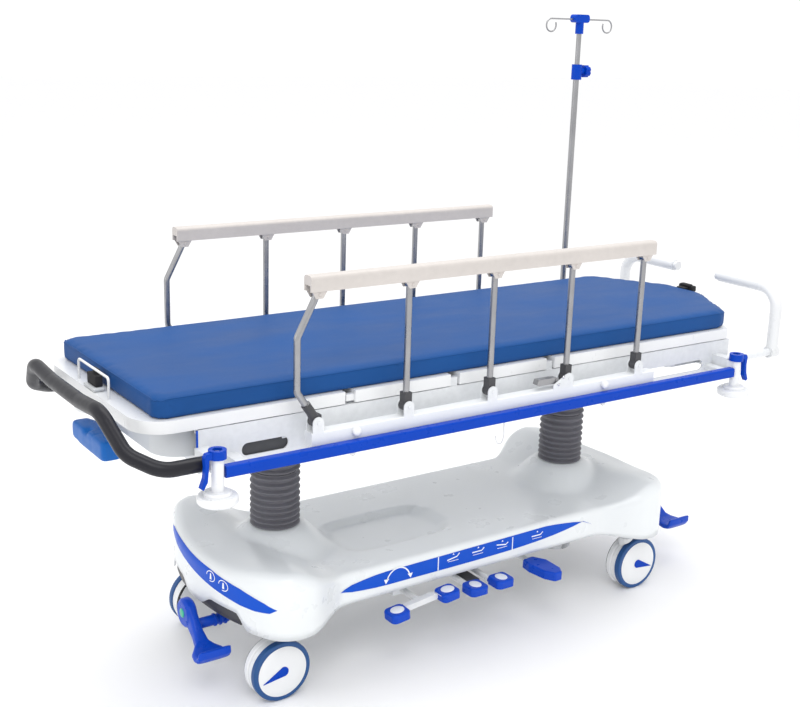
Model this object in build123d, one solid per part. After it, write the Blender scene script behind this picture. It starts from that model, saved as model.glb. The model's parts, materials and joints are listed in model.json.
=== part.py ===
"""Two-column hydraulic stretcher trolley.

Millimetres. +X is the head end, -Y the side with the pedals, +Z up. The origin is on the floor, midway
between the two lift columns.
"""
import os
from math import cos, degrees, radians, sin, tan

from build123d import *

os.makedirs("parts", exist_ok=True)

# Running gear
WHEEL_R = 78
WHEEL_X = 604
CASTOR_Y = 222
CASTOR_TRAIL = 30
WHEEL_HALF_WIDTH = 28
HOOD_HALF_WIDTH = 7.5
STEM_R = 14
AXLE_R = 8
FIT_GAP = 0.05
CLEARANCE = 0.3

# Base
CHASSIS_Z = (195, 225)
SHELL_WALL = 4
SHELL_MID = dict(half_x=560, half_y=245, bottom=205, top=290)
POD = dict(inner_x=520, end_x=720, end_r=602, half_y=312, bottom=185, top=342, corner_r=88)
DOME = dict(bottom_r=138, top_r=70, bottom=284, top=358)
COLUMN_X = 490
CYLINDER_R = 50
MID_TUBE_R = 43
ROD_R = 34
BELLOWS_BOTTOM = 358
BELLOWS_TOP = 596
PIN_Z = 650

# Pedals
BRAKE_Y = -60
BRAKE_Z = 158
PEDAL_PIVOT_Y = -95
PEDAL_PIVOT_Z = 192
PAD_Z = 175
PEDAL_SHAFT_R = 9
ROCKER_X = -213

# Deck
PLATE_X = (-843, 851)
PLATE_Y = 300
PLATE_Z = (655, 755)
MEMBER_WALL = 3
DECK_HALF = 296
FLANGE_Y = 280
EAR_Y = 284
BEAM_TOP = 730
CHEEK_HALF = 45
TRAY_Z = (688, 752)
PANEL_Z = (758, 787)
PANEL_HALF = 302
HINGE_Z = 770
HINGE_GAP = 14
BACK_HINGE_X = 158
THIGH_HINGE_X = -152
KNEE_HINGE_X = -457
PANEL_FOOT_X = -975
MATTRESS_FOOT_X = -945
MATTRESS_HEAD_X = 985
MATTRESS_TOP = 840
MATTRESS_HALF = 299
TAPER_X = 838
HEAD_EDGE_HALF = 70

# Corners and outer rails
POST_X = {"foot": -834, "head": 800}
POST_Y = 375
POST_R = 14
SOCKET_R = 10
SOCKET_TOP = 727
BUMPER_Z = (668, 695)
END_X = 1045
BAR_R = 17

# Side rails
RAIL_Y = 347
POST_TUBE_R = 8
RAIL_POSTS = (-578, -331, -80, 171, 422)
RAIL_PIVOT_Z = 746
RAIL_RIVET_Z = 1040
HANDRAIL_X = (-601, 451)
BEAM_X = (-595, 482)
BEAM_Z = (690, 724)

# Drip pole
POLE_R = 9.5
POLE_TOP = 1500
CLAMP_R = 16.5
CLAMP_Z = (1460, 1507)
KNOB_Z = 1486
HOOK_Z = 1645
HOOK_REACH = 118


def block(x0, x1, y0, y1, z0, z1):
    """Box between two corners."""
    centre = Pos((x0 + x1) / 2, (y0 + y1) / 2, (z0 + z1) / 2)
    return centre * Box(abs(x1 - x0), abs(y1 - y0), abs(z1 - z0))


def rod(axis, radius, start, end, a, b):
    """Cylinder along an axis from start to end; a and b are its other two coordinates in X, Y, Z order."""
    middle = (start + end) / 2
    length = abs(end - start)
    if axis == "x":
        return Pos(middle, a, b) * Rot(0, 90, 0) * Cylinder(radius, length)
    if axis == "y":
        return Pos(a, middle, b) * Rot(90, 0, 0) * Cylinder(radius, length)
    return Pos(a, b, middle) * Cylinder(radius, length)


def pipe(points, bend, radius):
    """Round bar along straight runs joined by tangent arcs."""
    path = FilletPolyline(*points, radius=bend)
    section = Plane(origin=path @ 0, z_dir=path % 0) * Circle(radius)
    return sweep(section, path=path)


def prism_y(points, y0, y1):
    """Outline in X and Z, extruded from y0 to y1."""
    face = make_face(Polyline(*[(x, y0, z) for x, z in points], close=True))
    return extrude(face, amount=abs(y1 - y0), dir=(0, 1 if y1 > y0 else -1, 0))


def plan(points, z0, z1, corner_r=0):
    """Outline in X and Y, extruded from z0 to z1, with its corners rounded."""
    face = make_face(Polyline(*points, close=True))
    if corner_r:
        face = fillet(face.vertices(), corner_r)
    return Pos(0, 0, z0) * extrude(face, amount=z1 - z0)


def slot_y(x0, x1, z0, z1, y0, y1):
    """Round-ended slot cutter through a plate that faces Y."""
    radius = (z1 - z0) / 2
    middle = (z0 + z1) / 2
    ends = rod("y", radius, y0, y1, x0 + radius, middle) + rod("y", radius, y0, y1, x1 - radius, middle)
    return ends + block(x0 + radius, x1 - radius, y0, y1, z0, z1)


def turned(x, y, profile):
    """Solid of revolution about a vertical axis; profile holds radius and height."""
    face = make_face(Polyline(*[(r, 0, z) for r, z in profile], close=True))
    return Pos(x, y, 0) * revolve(face, axis=Axis.Z)


def write(name, *shapes):
    """One STEP file for each sub-part."""
    solids = [solid for shape in shapes for solid in shape.solids()]
    export_step(Compound(children=solids), f"parts/{name}.step")


def corners():
    """The four corners as name, x sign and y sign."""
    for end, sx in (("foot", -1), ("head", 1)):
        for side, sy in (("near", -1), ("far", 1)):
            yield f"{end}_{side}", sx, sy


# ---------------------------------------------------------------- base


def base_chassis():
    z0, z1 = CHASSIS_Z
    frame = block(-600, 600, 140, 180, z0, z1) + block(-600, 600, -180, -140, z0, z1)
    castor_x = WHEEL_X - CASTOR_TRAIL
    for sx in (-1, 1):
        frame += block(sx * castor_x - 32, sx * castor_x + 32, -250, 250, z0, z1)
        frame += block(sx * COLUMN_X - 62, sx * COLUMN_X + 62, -150, 150, z0, z1)
    for sx in (-1, 1):
        frame -= rod("z", CYLINDER_R + 1, z0 - 5, z1 + 5, sx * COLUMN_X, 0)
        for sy in (-1, 1):
            frame += rod("z", 24, z0 - 30, z0, sx * castor_x, sy * CASTOR_Y)
            frame -= rod("z", STEM_R + FIT_GAP, z0 - 40, z1 + 5, sx * castor_x, sy * CASTOR_Y)
    hangers = []
    for x in (-262, -150, 150, 250):
        hanger = block(x - 5, x + 5, PEDAL_PIVOT_Y - 16, PEDAL_PIVOT_Y + 16, 178, 240)
        hanger += block(x - 5, x + 5, -145, PEDAL_PIVOT_Y, z1 - 12, z1 + 15)
        hangers.append(hanger - rod("x", PEDAL_SHAFT_R, x - 9, x + 9, PEDAL_PIVOT_Y, PEDAL_PIVOT_Z))
    for hanger in hangers:
        frame += hanger
    return [frame, pedal_shaft(), rocker_bearing()]


def pod(sx, inset):
    """One raised end of the base shell, with a bowed end face."""
    centre_x = POD["end_x"] - POD["end_r"]
    disc = Pos(centre_x, 0) * Circle(POD["end_r"] - inset)
    inner_x = POD["inner_x"] + inset
    width = 2 * (POD["half_y"] - inset)
    outline = disc & Pos(inner_x + 200, 0) * Rectangle(400, width)
    outer = outline.vertices().sort_by(Axis.X)[-2:]
    outline = fillet(outer, POD["corner_r"] - inset)
    inner = outline.vertices().sort_by(Axis.X)[:2]
    outline = fillet(inner, 60 - inset)
    height = POD["top"] - POD["bottom"] - inset
    body = extrude(outline, amount=height + inset * 5)
    body = fillet(body.edges().group_by(Axis.Z)[-1], 46 - inset)
    body = Pos(0, 0, POD["bottom"] - inset * 5) * body
    return body if sx > 0 else mirror(body, about=Plane.YZ)


def shell_form(inset):
    """Outer form of the base shell, or its inside when inset is the wall."""
    mid = SHELL_MID
    half_y = mid["half_y"] - inset
    bottom, top = mid["bottom"] - inset * 5, mid["top"] - inset
    form = block(-mid["half_x"], mid["half_x"], -half_y, half_y, bottom, top)
    form = fillet(form.edges().filter_by(Axis.X).group_by(Axis.Z)[-1], 24 - inset)
    for sx in (-1, 1):
        form += pod(sx, inset)
        form += turned(sx * COLUMN_X, 0, [
            (0, DOME["bottom"] - 20), (DOME["bottom_r"] - inset, DOME["bottom"] - 20),
            (DOME["bottom_r"] - inset, DOME["bottom"]),
            (DOME["top_r"] - inset, DOME["top"] - inset), (0, DOME["top"] - inset)])
    return form


def tray_recess(grow, depth):
    """Storage recess in the top of the shell, beside the foot column."""
    x0, x1, y0, y1 = -325, -20, -165, 55
    outline = [(x0 - grow, y0 - grow), (x1 + grow, y0 - grow), (x1 + grow, y1 + grow), (x0 - grow, y1 + grow)]
    return plan(outline, SHELL_MID["top"] - depth, SHELL_MID["top"] + 1, 60 + grow)


def base_shell():
    inside = shell_form(SHELL_WALL) - tray_recess(SHELL_WALL, 16 + SHELL_WALL)
    shell = shell_form(0) - tray_recess(0, 16) - inside
    for sx in (-1, 1):
        shell -= rod("z", 60, 300, 400, sx * COLUMN_X, 0)
        shell -= block(sx * 640, sx * 740, -190, 190, 150, 226)
    return shell


def column_cylinders():
    """Fixed outer cylinders with their flanges, and the pump that drives them."""
    parts = []
    for sx in (-1, 1):
        x = sx * COLUMN_X
        body = turned(x, 0, [
            (0, 75), (CYLINDER_R, 75), (CYLINDER_R, CHASSIS_Z[1]), (60, CHASSIS_Z[1]),
            (60, CHASSIS_Z[1] + 10), (CYLINDER_R, CHASSIS_Z[1] + 10), (CYLINDER_R, 350),
            (MID_TUBE_R + CLEARANCE, 350),
            (MID_TUBE_R + CLEARANCE, 82), (0, 82)])
        parts.append(body)
    parts.append(fillet(block(60, 230, 30, 120, 168, 250).edges(), 6))
    return parts


def column_mid_tubes():
    tubes = []
    for sx in (-1, 1):
        tubes.append(turned(sx * COLUMN_X, 0, [
            (ROD_R + CLEARANCE, 236), (MID_TUBE_R, 236), (MID_TUBE_R, 505), (ROD_R + CLEARANCE, 505)]))
    return tubes


def column_rod(sx):
    x = sx * COLUMN_X
    shank = turned(x, 0, [(0, 330), (ROD_R, 330), (ROD_R, BELLOWS_TOP), (54, BELLOWS_TOP), (54, 602),
                          (ROD_R, 602), (ROD_R, 606), (0, 606)])
    tongue = block(x - 18, x + 18, -16, 16, 600, PIN_Z) + rod("y", 18, -16, 16, x, PIN_Z)
    return shank + tongue + rod("y", 8, -34, 34, x, PIN_Z)


def bellows(sx):
    """Folded sleeve round a column: tight folds low down, looser ones higher up."""
    folds = 12
    outer, inner = 64, 58
    height = BELLOWS_TOP - BELLOWS_BOTTOM
    tops = [BELLOWS_BOTTOM + height * ((i / folds) ** 1.25) for i in range(folds + 1)]
    wall = [(outer, tops[0])]
    for low, high in zip(tops, tops[1:]):
        wall += [(outer, low + (high - low) * 0.55), (inner, high - (high - low) * 0.12)]
        if high != tops[-1]:
            wall.append((outer, high + (high - low) * 0.1))
    wall += [(inner, BELLOWS_TOP), (inner - 3, BELLOWS_TOP), (inner - 3, BELLOWS_BOTTOM)]
    return turned(sx * COLUMN_X, 0, wall)


def castor_fork(sx, sy):
    stem_x = sx * (WHEEL_X - CASTOR_TRAIL)
    x, y = sx * WHEEL_X, sy * CASTOR_Y
    hood = rod("y", WHEEL_R - 3, y - HOOD_HALF_WIDTH, y + HOOD_HALF_WIDTH, x, WHEEL_R)
    hood -= block(x - 100, x + 100, y - 40, y + 40, 0, 22)
    hood += rod("z", 21, 138, 162, stem_x, y) & block(x - 99, x + 99, y - 22, y + 22, 138, 162)
    hood += rod("z", STEM_R, 150, 222, stem_x, y)
    hood -= rod("y", AXLE_R + FIT_GAP, y - 30, y + 30, x, WHEEL_R)
    for side in (-1, 1):
        hood -= rod("y", WHEEL_R + 3, y + side * HOOD_HALF_WIDTH, y + side * 40, x, WHEEL_R)
    return hood


def castor_wheel(sx, sy):
    """Two wheels on one axle, either side of the hood."""
    x, y = sx * WHEEL_X, sy * CASTOR_Y
    wheel = rod("y", AXLE_R, y - 20, y + 20, x, WHEEL_R)
    for side in (-1, 1):
        inner = y + side * (HOOD_HALF_WIDTH + 1)
        disc = rod("y", WHEEL_R, inner, y + side * WHEEL_HALF_WIDTH, x, WHEEL_R)
        wheel += fillet(disc.edges().filter_by(GeomType.CIRCLE), 4)
    return wheel


def brake_linkage():
    """Shaft along the base with the same rocker pedal at both ends."""
    shaft = rod("x", 7, -760, 855, BRAKE_Y, BRAKE_Z)
    for sx, plate_x in ((-1, -750), (1, 850)):
        inner, outer = plate_x - sx * 14, plate_x + sx * 14
        shaft += rod("x", 14, plate_x - sx * 95, inner, BRAKE_Y, BRAKE_Z)
        head = rod("x", 38, inner, outer, BRAKE_Y + 38, BRAKE_Z + 18)
        outline = [(BRAKE_Y + 50, BRAKE_Z + 52), (BRAKE_Y + 4, BRAKE_Z + 24), (BRAKE_Y - 62, BRAKE_Z - 14),
                   (BRAKE_Y - 112, BRAKE_Z - 26), (BRAKE_Y - 112, BRAKE_Z - 50), (BRAKE_Y - 60, BRAKE_Z - 50),
                   (BRAKE_Y + 10, BRAKE_Z - 18), (BRAKE_Y + 44, BRAKE_Z - 18)]
        face = make_face(Polyline(*[(inner, y, z) for y, z in outline], close=True))
        arm = extrude(face, amount=28, dir=(sx, 0, 0))
        pad = block(plate_x - 46, plate_x + 46, BRAKE_Y - 124, BRAKE_Y - 66, BRAKE_Z - 50, BRAKE_Z - 26)
        shaft += head + arm + fillet(pad.edges(), 6)
    return shaft


def pedal_shaft():
    """Fixed shaft that the near-side pedals turn on."""
    return rod("x", PEDAL_SHAFT_R, -268, 258, PEDAL_PIVOT_Y, PEDAL_PIVOT_Z)


def pedal_arm(x, tip_y):
    """Round arm from a hub on the pedal shaft out to the pad."""
    hub = rod("x", 16, x - 12, x + 12, PEDAL_PIVOT_Y, PEDAL_PIVOT_Z)
    hub -= rod("x", PEDAL_SHAFT_R + CLEARANCE, x - 20, x + 20, PEDAL_PIVOT_Y, PEDAL_PIVOT_Z)
    start = (x, PEDAL_PIVOT_Y - 12, PEDAL_PIVOT_Z - 3)
    return hub + pipe([start, (x, PEDAL_PIVOT_Y - 70, PAD_Z + 2), (x, tip_y, PAD_Z)], 40, 8)


def pad(x, y, size_x, size_y, z):
    body = block(x - size_x / 2, x + size_x / 2, y - size_y / 2, y + size_y / 2, z - 11, z + 11)
    body = fillet(body.edges().filter_by(Axis.Z), 14)
    return fillet(body.edges().group_by(Axis.Z)[-1], 5)


def rocker_pedal():
    """Tilt rocker: an arm along Y with a yoke and a pad at each end, turning about the arm."""
    arm = rod("y", 8, -268, -130, ROCKER_X, PAD_Z)
    slope = 0.115
    yoke = block(-52, 52, -9, 9, -8, 8)
    yoke = fillet(yoke.edges().filter_by(Axis.Y), 6)
    rise = Pos(ROCKER_X, -272, PAD_Z) * Rot(0, -degrees(slope), 0)
    pads = pad(-79, -12, 56, 54, 0) + pad(79, -12, 56, 54, 0)
    return arm + rise * (yoke + pads)


def rocker_bearing():
    """Block under the chassis that the rocker arm turns in."""
    body = block(ROCKER_X - 20, ROCKER_X + 20, -178, -142, 155, CHASSIS_Z[0])
    return body - rod("y", 8 + CLEARANCE, -190, -130, ROCKER_X, PAD_Z)


def pump_pedal():
    x = 190
    outline = [(x - 22, -225), (x + 14, -225), (x + 36, -262), (x + 34, -322), (x + 20, -346), (x - 4, -346),
               (x - 20, -320), (x - 28, -262)]
    body = plan(outline, PAD_Z - 12, PAD_Z + 12, 8)
    return pedal_arm(x, -232) + fillet(body.edges().group_by(Axis.Z)[-1], 5)


# ---------------------------------------------------------------- deck


def side_members(sy):
    """One side of the deck frame: a plate with two round-ended slots, its top flange and an inner rail."""
    z0, z1 = PLATE_Z
    x0, x1 = PLATE_X
    plate = block(x0, x1, sy * DECK_HALF, sy * PLATE_Y, z0, z1)
    plate -= slot_y(-738, -620, 676, 706, -310, 310)
    plate -= slot_y(505, 745, 676, 706, -310, 310)
    flange = block(x0, x1, sy * FLANGE_Y, sy * DECK_HALF, z1 - 12, z1)
    rail = block(-636, 636, sy * 190, sy * 230, BEAM_TOP, 742)
    rail -= block(-630, 630, sy * 193, sy * 227, BEAM_TOP - 1, 742 - MEMBER_WALL)
    return [plate, flange, rail]


def cross_members():
    """Channels, open below, between the side plates; those under the end trays lie lower."""
    beams = []
    for x, half, top in ((-825, 16, TRAY_Z[0]), (825, 16, TRAY_Z[0]),
                         (-618, 16, BEAM_TOP), (618, 16, BEAM_TOP),
                         (-COLUMN_X, CHEEK_HALF, BEAM_TOP), (COLUMN_X, CHEEK_HALF, BEAM_TOP),
                         (BACK_HINGE_X, 20, BEAM_TOP), (THIGH_HINGE_X, 20, BEAM_TOP)):
        bottom = max(top - 30, 668)
        beam = block(x - half, x + half, -DECK_HALF, DECK_HALF, bottom, top)
        inside = half - MEMBER_WALL
        beam -= block(x - inside, x + inside, 4 - DECK_HALF, DECK_HALF - 4, bottom - 1, top - MEMBER_WALL)
        beams.append(beam)
    return beams


def column_channel(sx):
    """Pair of slotted cheeks that take a column's cross pin; they fit up into their cross member."""
    middle = sx * COLUMN_X
    inside = CHEEK_HALF - MEMBER_WALL
    shoulder, top = BEAM_TOP - 30, BEAM_TOP - MEMBER_WALL
    cheeks = []
    for sy in (-1, 1):
        cheek = block(middle - CHEEK_HALF, middle + CHEEK_HALF, sy * 20, sy * 26, 624, shoulder)
        cheek += block(middle - inside, middle + inside, sy * 20, sy * 26, shoulder, top)
        cheeks.append(cheek - slot_y(middle - 24, middle + 24, PIN_Z - 11, PIN_Z + 11, -30, 30))
    return cheeks


def deck_brackets(sy):
    """Panel pads and hinge ears on the flange, and what stands out from the side plate."""
    foot, head = POST_X["foot"], POST_X["head"]
    flange_top = PLATE_Z[1]
    parts = []
    for x in (-790, -600, -90, 90, 300, 790):
        parts.append(block(x - 25, x + 25, sy * FLANGE_Y, sy * DECK_HALF, flange_top, PANEL_Z[0]))
    for x in (BACK_HINGE_X, THIGH_HINGE_X):
        parts.append(block(x - 11, x + 11, sy * EAR_Y, sy * DECK_HALF, flange_top, HINGE_Z + 7))
    for x in (-766, -450, -206, 46, 296, 484, 765):
        parts.append(block(x - 14, x + 14, sy * PLATE_Y, sy * (POST_Y - 12), 678, BEAM_Z[0]))
    parts.append(block(foot - 18, foot + 14, sy * PLATE_Y, sy * 355, 680, 716))
    parts.append(block(head - 14, head + 14, sy * PLATE_Y, sy * 355, 680, 716))
    handle_arm_end = END_X - BAR_R - 17
    parts.append(rod("x", 11, head + 14, handle_arm_end, sy * 316, 698))
    parts.append(rod("x", 6, handle_arm_end, END_X - 1, sy * 316, 698))
    return parts


def deck_frame():
    """Welded frame, its members set face to face, with the two hinge rods of the panels."""
    members = cross_members()
    for side in (-1, 1):
        members += side_members(side) + column_channel(side) + deck_brackets(side)
    for x in (BACK_HINGE_X, THIGH_HINGE_X):
        members.append(rod("y", 5, -EAR_Y, EAR_Y, x, HINGE_Z))
    return members


def corner_posts():
    """Sockets for the drip pole, and the bumper disc under each."""
    parts = []
    for name, sx, sy in corners():
        x, y = POST_X[name.split("_")[0]], sy * POST_Y
        post = rod("z", POST_R, 640, SOCKET_TOP, x, y)
        post += block(x - 15, x + 14, sy * 355, y, 682, 712)
        post -= rod("z", SOCKET_R, 660, SOCKET_TOP + 1, x, y)
        parts.append(post)
        parts.append(turned(x, y, [(0, 612), (41, 612), (45, 616), (45, 628), (42, 632), (31, 632), (31, 636),
                                   (28, 640), (0, 640)]))
    return parts


def clamp_lever(name, sx, sy):
    """Collar on a socket with its hanging lever."""
    x, y = POST_X[name.split("_")[0]], sy * POST_Y
    collar = turned(x, y, [
        (POST_R + CLEARANCE, 714), (20, 714), (20, 734), (SOCKET_R + 0.8, 734),
        (SOCKET_R + 0.8, SOCKET_TOP + 0.3), (POST_R + CLEARANCE, SOCKET_TOP + 0.3)])
    lever_y = y + sy * 5
    outline = [(17, 732), (30, 730), (35, 722), (33, 700), (36, 676), (44, 655), (38, 651), (28, 668),
               (25, 700), (24, 716), (17, 718)]
    lever = prism_y([(x + sx * r, z) for r, z in outline], lever_y - 7, lever_y + 7)
    lever -= rod("z", POST_R + CLEARANCE, 640, SOCKET_TOP + 0.3, x, y)
    return collar + lever


def bumper_rail(sy):
    x0, x1 = POST_X["foot"] + 16, POST_X["head"] - 16
    rail = block(x0, x1, sy * (POST_Y - 12), sy * (POST_Y + 12), *BUMPER_Z)
    return fillet(rail.edges().filter_by(Axis.X), 5)


def foot_push_bar():
    """Bent bar that rises from both foot corners and dips a little in the middle."""
    crown = END_X - BAR_R
    half = [(POST_X["foot"] - 18, 352, 698), (-950, 352, 698), (-1008, 300, 728), (-crown, 215, 802)]
    points = [(x, -y, z) for x, y, z in half] + [(-crown, -90, 792), (-crown, 90, 792)]
    points += [(x, y, z) for x, y, z in reversed(half)]
    return pipe(points, 68, BAR_R)


def push_handle():
    """Near head-end handle, which folds inwards about its lower hub."""
    x = END_X - BAR_R
    tube = pipe([(x, -316, 706), (x, -316, 888), (x, -95, 888)], 62, BAR_R)
    tube += rod("y", BAR_R - 3, -95, -82, x, 888)
    hub = rod("x", BAR_R + 1, x - 16, x + 16.8, -316, 698)
    return hub + tube - rod("x", 6 + CLEARANCE, x - 30, x + 30, -316, 698)


def end_tray(sx):
    """Grey pan under one end of the panels, open towards the middle of the deck."""
    inner_x, outer_x = (-645, -915) if sx < 0 else (645, 880)
    wall = 4

    def form(inset, z0, z1, reach):
        half = 270 - inset
        end_x = outer_x - sx * inset
        open_x = inner_x - sx * reach
        face = make_face(Polyline((open_x, -half), (end_x, -half), (end_x, half), (open_x, half), close=True))
        ends = face.vertices().sort_by(Axis.X)[:2] if sx < 0 else face.vertices().sort_by(Axis.X)[-2:]
        return Pos(0, 0, z0) * extrude(fillet(ends, 70 - inset), amount=z1 - z0)

    z0, z1 = TRAY_Z
    return form(0, z0, z1, 0) - form(wall, z0 + wall, z1 + 1, 20)


def knuckles(hinge_x, toward, ys):
    """Sleeves on a hinge rod with tabs to the panel on one side of it."""
    sleeves = None
    for y in ys:
        sleeve = rod("y", 9, y - 30, y + 30, hinge_x, HINGE_Z)
        edge = hinge_x + toward * (HINGE_GAP + 1)
        sleeve += block(min(hinge_x, edge), max(hinge_x, edge), y - 30, y + 30, HINGE_Z - 4, HINGE_Z + 4)
        sleeve -= rod("y", 5 + CLEARANCE, y - 31, y + 31, hinge_x, HINGE_Z)
        sleeves = sleeve if sleeves is None else sleeves + sleeve
    return sleeves


def back_outline(start, inset, head_x):
    half = PANEL_HALF - inset
    return [(start, -half), (TAPER_X, -half), (head_x, -HEAD_EDGE_HALF), (head_x, HEAD_EDGE_HALF),
            (TAPER_X, half), (start, half)]


def back_panel():
    low, high = PANEL_Z
    start = BACK_HINGE_X + HINGE_GAP
    plate = plan(back_outline(start, 0, MATTRESS_HEAD_X), low, high)
    pocket = block(start + 14, TAPER_X - 14, -PANEL_HALF + 14, PANEL_HALF - 14, low, high - 12)
    for y0 in (-215, 195):
        pocket -= block(start, TAPER_X, y0, y0 + 20, low, high - 12)
    return plate - pocket + knuckles(BACK_HINGE_X, 1, (-150, 0, 150))


def flat_panel(x0, x1, corner_r=0):
    low, high = PANEL_Z
    outline = [(x0, -PANEL_HALF), (x1, -PANEL_HALF), (x1, PANEL_HALF), (x0, PANEL_HALF)]
    plate = plan(outline, low, high)
    if corner_r:
        plate = fillet(plate.edges().filter_by(Axis.Z).group_by(Axis.X)[0], corner_r)
    pocket = block(x0 + 14, x1 - 14, -PANEL_HALF + 14, PANEL_HALF - 14, low, high - 12)
    if corner_r:
        pocket = block(x0 + corner_r, x1 - 14, -PANEL_HALF + 14, PANEL_HALF - 14, low, high - 12)
    for y0 in (-215, 195):
        pocket -= block(x0, x1, y0, y0 + 20, low, high - 12)
    return plate - pocket


def seat_panel():
    return flat_panel(THIGH_HINGE_X + HINGE_GAP, BACK_HINGE_X - HINGE_GAP)


def thigh_panel():
    panel = flat_panel(KNEE_HINGE_X + HINGE_GAP, THIGH_HINGE_X - HINGE_GAP)
    panel += knuckles(THIGH_HINGE_X, -1, (-150, 0, 150))
    ears = None
    for sy in (-1, 1):
        ear = block(KNEE_HINGE_X - 8, KNEE_HINGE_X + HINGE_GAP + 2, sy * 284, sy * 296, 762, 778)
        ears = ear if ears is None else ears + ear
    return panel + ears + rod("y", 5, -290, 290, KNEE_HINGE_X, HINGE_Z)


def calf_panel():
    panel = flat_panel(PANEL_FOOT_X, KNEE_HINGE_X - HINGE_GAP, 80)
    return panel + knuckles(KNEE_HINGE_X, -1, (-150, 0, 150))


def mattress_section(foot_x, head_x, foot_lean, head_lean):
    """Pad between two stations; each end leans back from its hinge so that bending leaves room."""
    rise = MATTRESS_TOP - PANEL_Z[1]
    start = PANEL_Z[1] - HINGE_Z
    profile = [(foot_x + start * foot_lean, PANEL_Z[1]), (head_x - start * head_lean, PANEL_Z[1]),
               (head_x - (start + rise) * head_lean, MATTRESS_TOP),
               (foot_x + (start + rise) * foot_lean, MATTRESS_TOP)]
    return prism_y(profile, -MATTRESS_HALF, MATTRESS_HALF)


def mattress():
    sections = {}
    back_lean, thigh_lean = tan(radians(37)), tan(radians(17))
    whole = mattress_section(BACK_HINGE_X, MATTRESS_HEAD_X, back_lean, 0)
    outline = back_outline(BACK_HINGE_X - 10, PANEL_HALF - MATTRESS_HALF, MATTRESS_HEAD_X)
    sections["back"] = whole & plan(outline, PANEL_Z[1], MATTRESS_TOP)
    sections["seat"] = mattress_section(THIGH_HINGE_X, BACK_HINGE_X, thigh_lean, back_lean)
    sections["thigh"] = mattress_section(KNEE_HINGE_X + 1, THIGH_HINGE_X, 0, thigh_lean)
    calf = mattress_section(MATTRESS_FOOT_X, KNEE_HINGE_X - 1, 0, 0)
    sections["calf"] = fillet(calf.edges().filter_by(Axis.Z).group_by(Axis.X)[0], 55)
    return sections


def foot_fittings():
    """Wire loop that keeps the mattress from sliding off the calf panel."""
    x = (PANEL_FOOT_X + MATTRESS_FOOT_X) / 2 - 2
    return pipe([(x, -94, PANEL_Z[1]), (x, -94, 836), (x, 94, 836), (x, 94, PANEL_Z[1])], 9, 3)


def control_block():
    """Housing of the hand control, under the foot end of the deck."""
    return fillet(block(-985, -935, -105, 105, 640, 690).edges(), 9)


# ---------------------------------------------------------------- side rails


def rail_beam(sy):
    """Beam with a clevis for each post, its pins, and the latch bracket."""
    z0, z1 = BEAM_Z
    beam = fillet(block(*BEAM_X, sy * 330, sy * 362, z0, z1).edges().filter_by(Axis.X), 3)
    for x in RAIL_POSTS:
        for side in (-1, 1):
            y0, y1 = sorted((sy * RAIL_Y + side * 12.5, sy * RAIL_Y + side * 16))
            ear = block(x - 14, x + 14, y0, y1, z1 - 3, RAIL_PIVOT_Z) + rod("y", 14, y0, y1, x, RAIL_PIVOT_Z)
            beam += ear
    outer_y = sy * (RAIL_Y + 12.5), sy * (RAIL_Y + 16)
    latch_x = RAIL_POSTS[3]
    beam += prism_y([(latch_x - 52, z1 - 3), (latch_x - 52, z1 + 10), (latch_x - 8, RAIL_PIVOT_Z + 12),
                     (latch_x + 5, RAIL_PIVOT_Z + 12), (latch_x + 5, z1 - 3)], *outer_y)
    pins = []
    for x in RAIL_POSTS:
        beam -= rod("y", 4, sy * 320, sy * 370, x, RAIL_PIVOT_Z)
        pins.append(rod("y", 4, sy * (RAIL_Y - 18), sy * (RAIL_Y + 18), x, RAIL_PIVOT_Z))
    return [beam] + pins


def rail_post(index, sy):
    """Steel tube with a plastic foot; the first post is bent towards the foot end."""
    x, y = RAIL_POSTS[index], sy * RAIL_Y
    low, high = RAIL_PIVOT_Z, RAIL_RIVET_Z
    if index == 0:
        bulge = x - 48
        points = [(x - 12, y, low + 22), (bulge, y, low + 76), (bulge, y, low + 200),
                  (x - 6, y, high - 14), (x, y, high)]
        tube = pipe(points, 22, POST_TUBE_R)
        foot_top = low + 18
    else:
        tube = rod("z", POST_TUBE_R, low + 12, high, x, y)
        foot_top = low + 34
    tube += rod("y", POST_TUBE_R + 1.5, y - 8, y + 8, x, high)
    tube -= rod("y", 3 + FIT_GAP, y - 20, y + 20, x, high)
    foot = rod("y", 13, y - 12, y + 12, x, low)
    foot += block(x - 10, x + 10, y - 11, y + 11, low, foot_top)
    if index == 0:
        foot += pipe([(x - 2, y, low + 6), (x - 12, y, low + 24), (x - 26, y, low + 44)], 10, 11)
    foot -= rod("y", 4 + FIT_GAP, y - 20, y + 20, x, low)
    return [tube - foot, foot]


def handrail(sy):
    """Inverted channel with lugs and a rivet at each post, notched at the foot end for the bent post."""
    x0, x1 = HANDRAIL_X
    y = sy * RAIL_Y
    z0, z1 = RAIL_RIVET_Z + 7, RAIL_RIVET_Z + 43
    rail = block(x0, x1, y - 16, y + 16, z0, z1)
    rail = fillet(rail.edges().filter_by(Axis.X).group_by(Axis.Z)[-1], 9)
    rail -= block(x0 + 4, x1 - 4, y - 11, y + 11, z0 - 1, z1 - 6)
    rail -= block(x0 - 1, x0 + 5, y - 11, y + 11, z0 - 1, z0 + 14)
    rivets = []
    for x in RAIL_POSTS:
        for side in (-1, 1):
            y0, y1 = sorted((y + side * 11, y + side * 14))
            lug = [(x - 20, z0 + 2), (x + 20, z0 + 2), (x + 9, RAIL_RIVET_Z - 9), (x - 9, RAIL_RIVET_Z - 9)]
            rail += prism_y(lug, y0, y1)
        rail -= rod("y", 3, y - 20, y + 20, x, RAIL_RIVET_Z)
        rivets.append(rod("y", 3, y - 16, y + 16, x, RAIL_RIVET_Z))
    return [rail] + rivets


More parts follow.
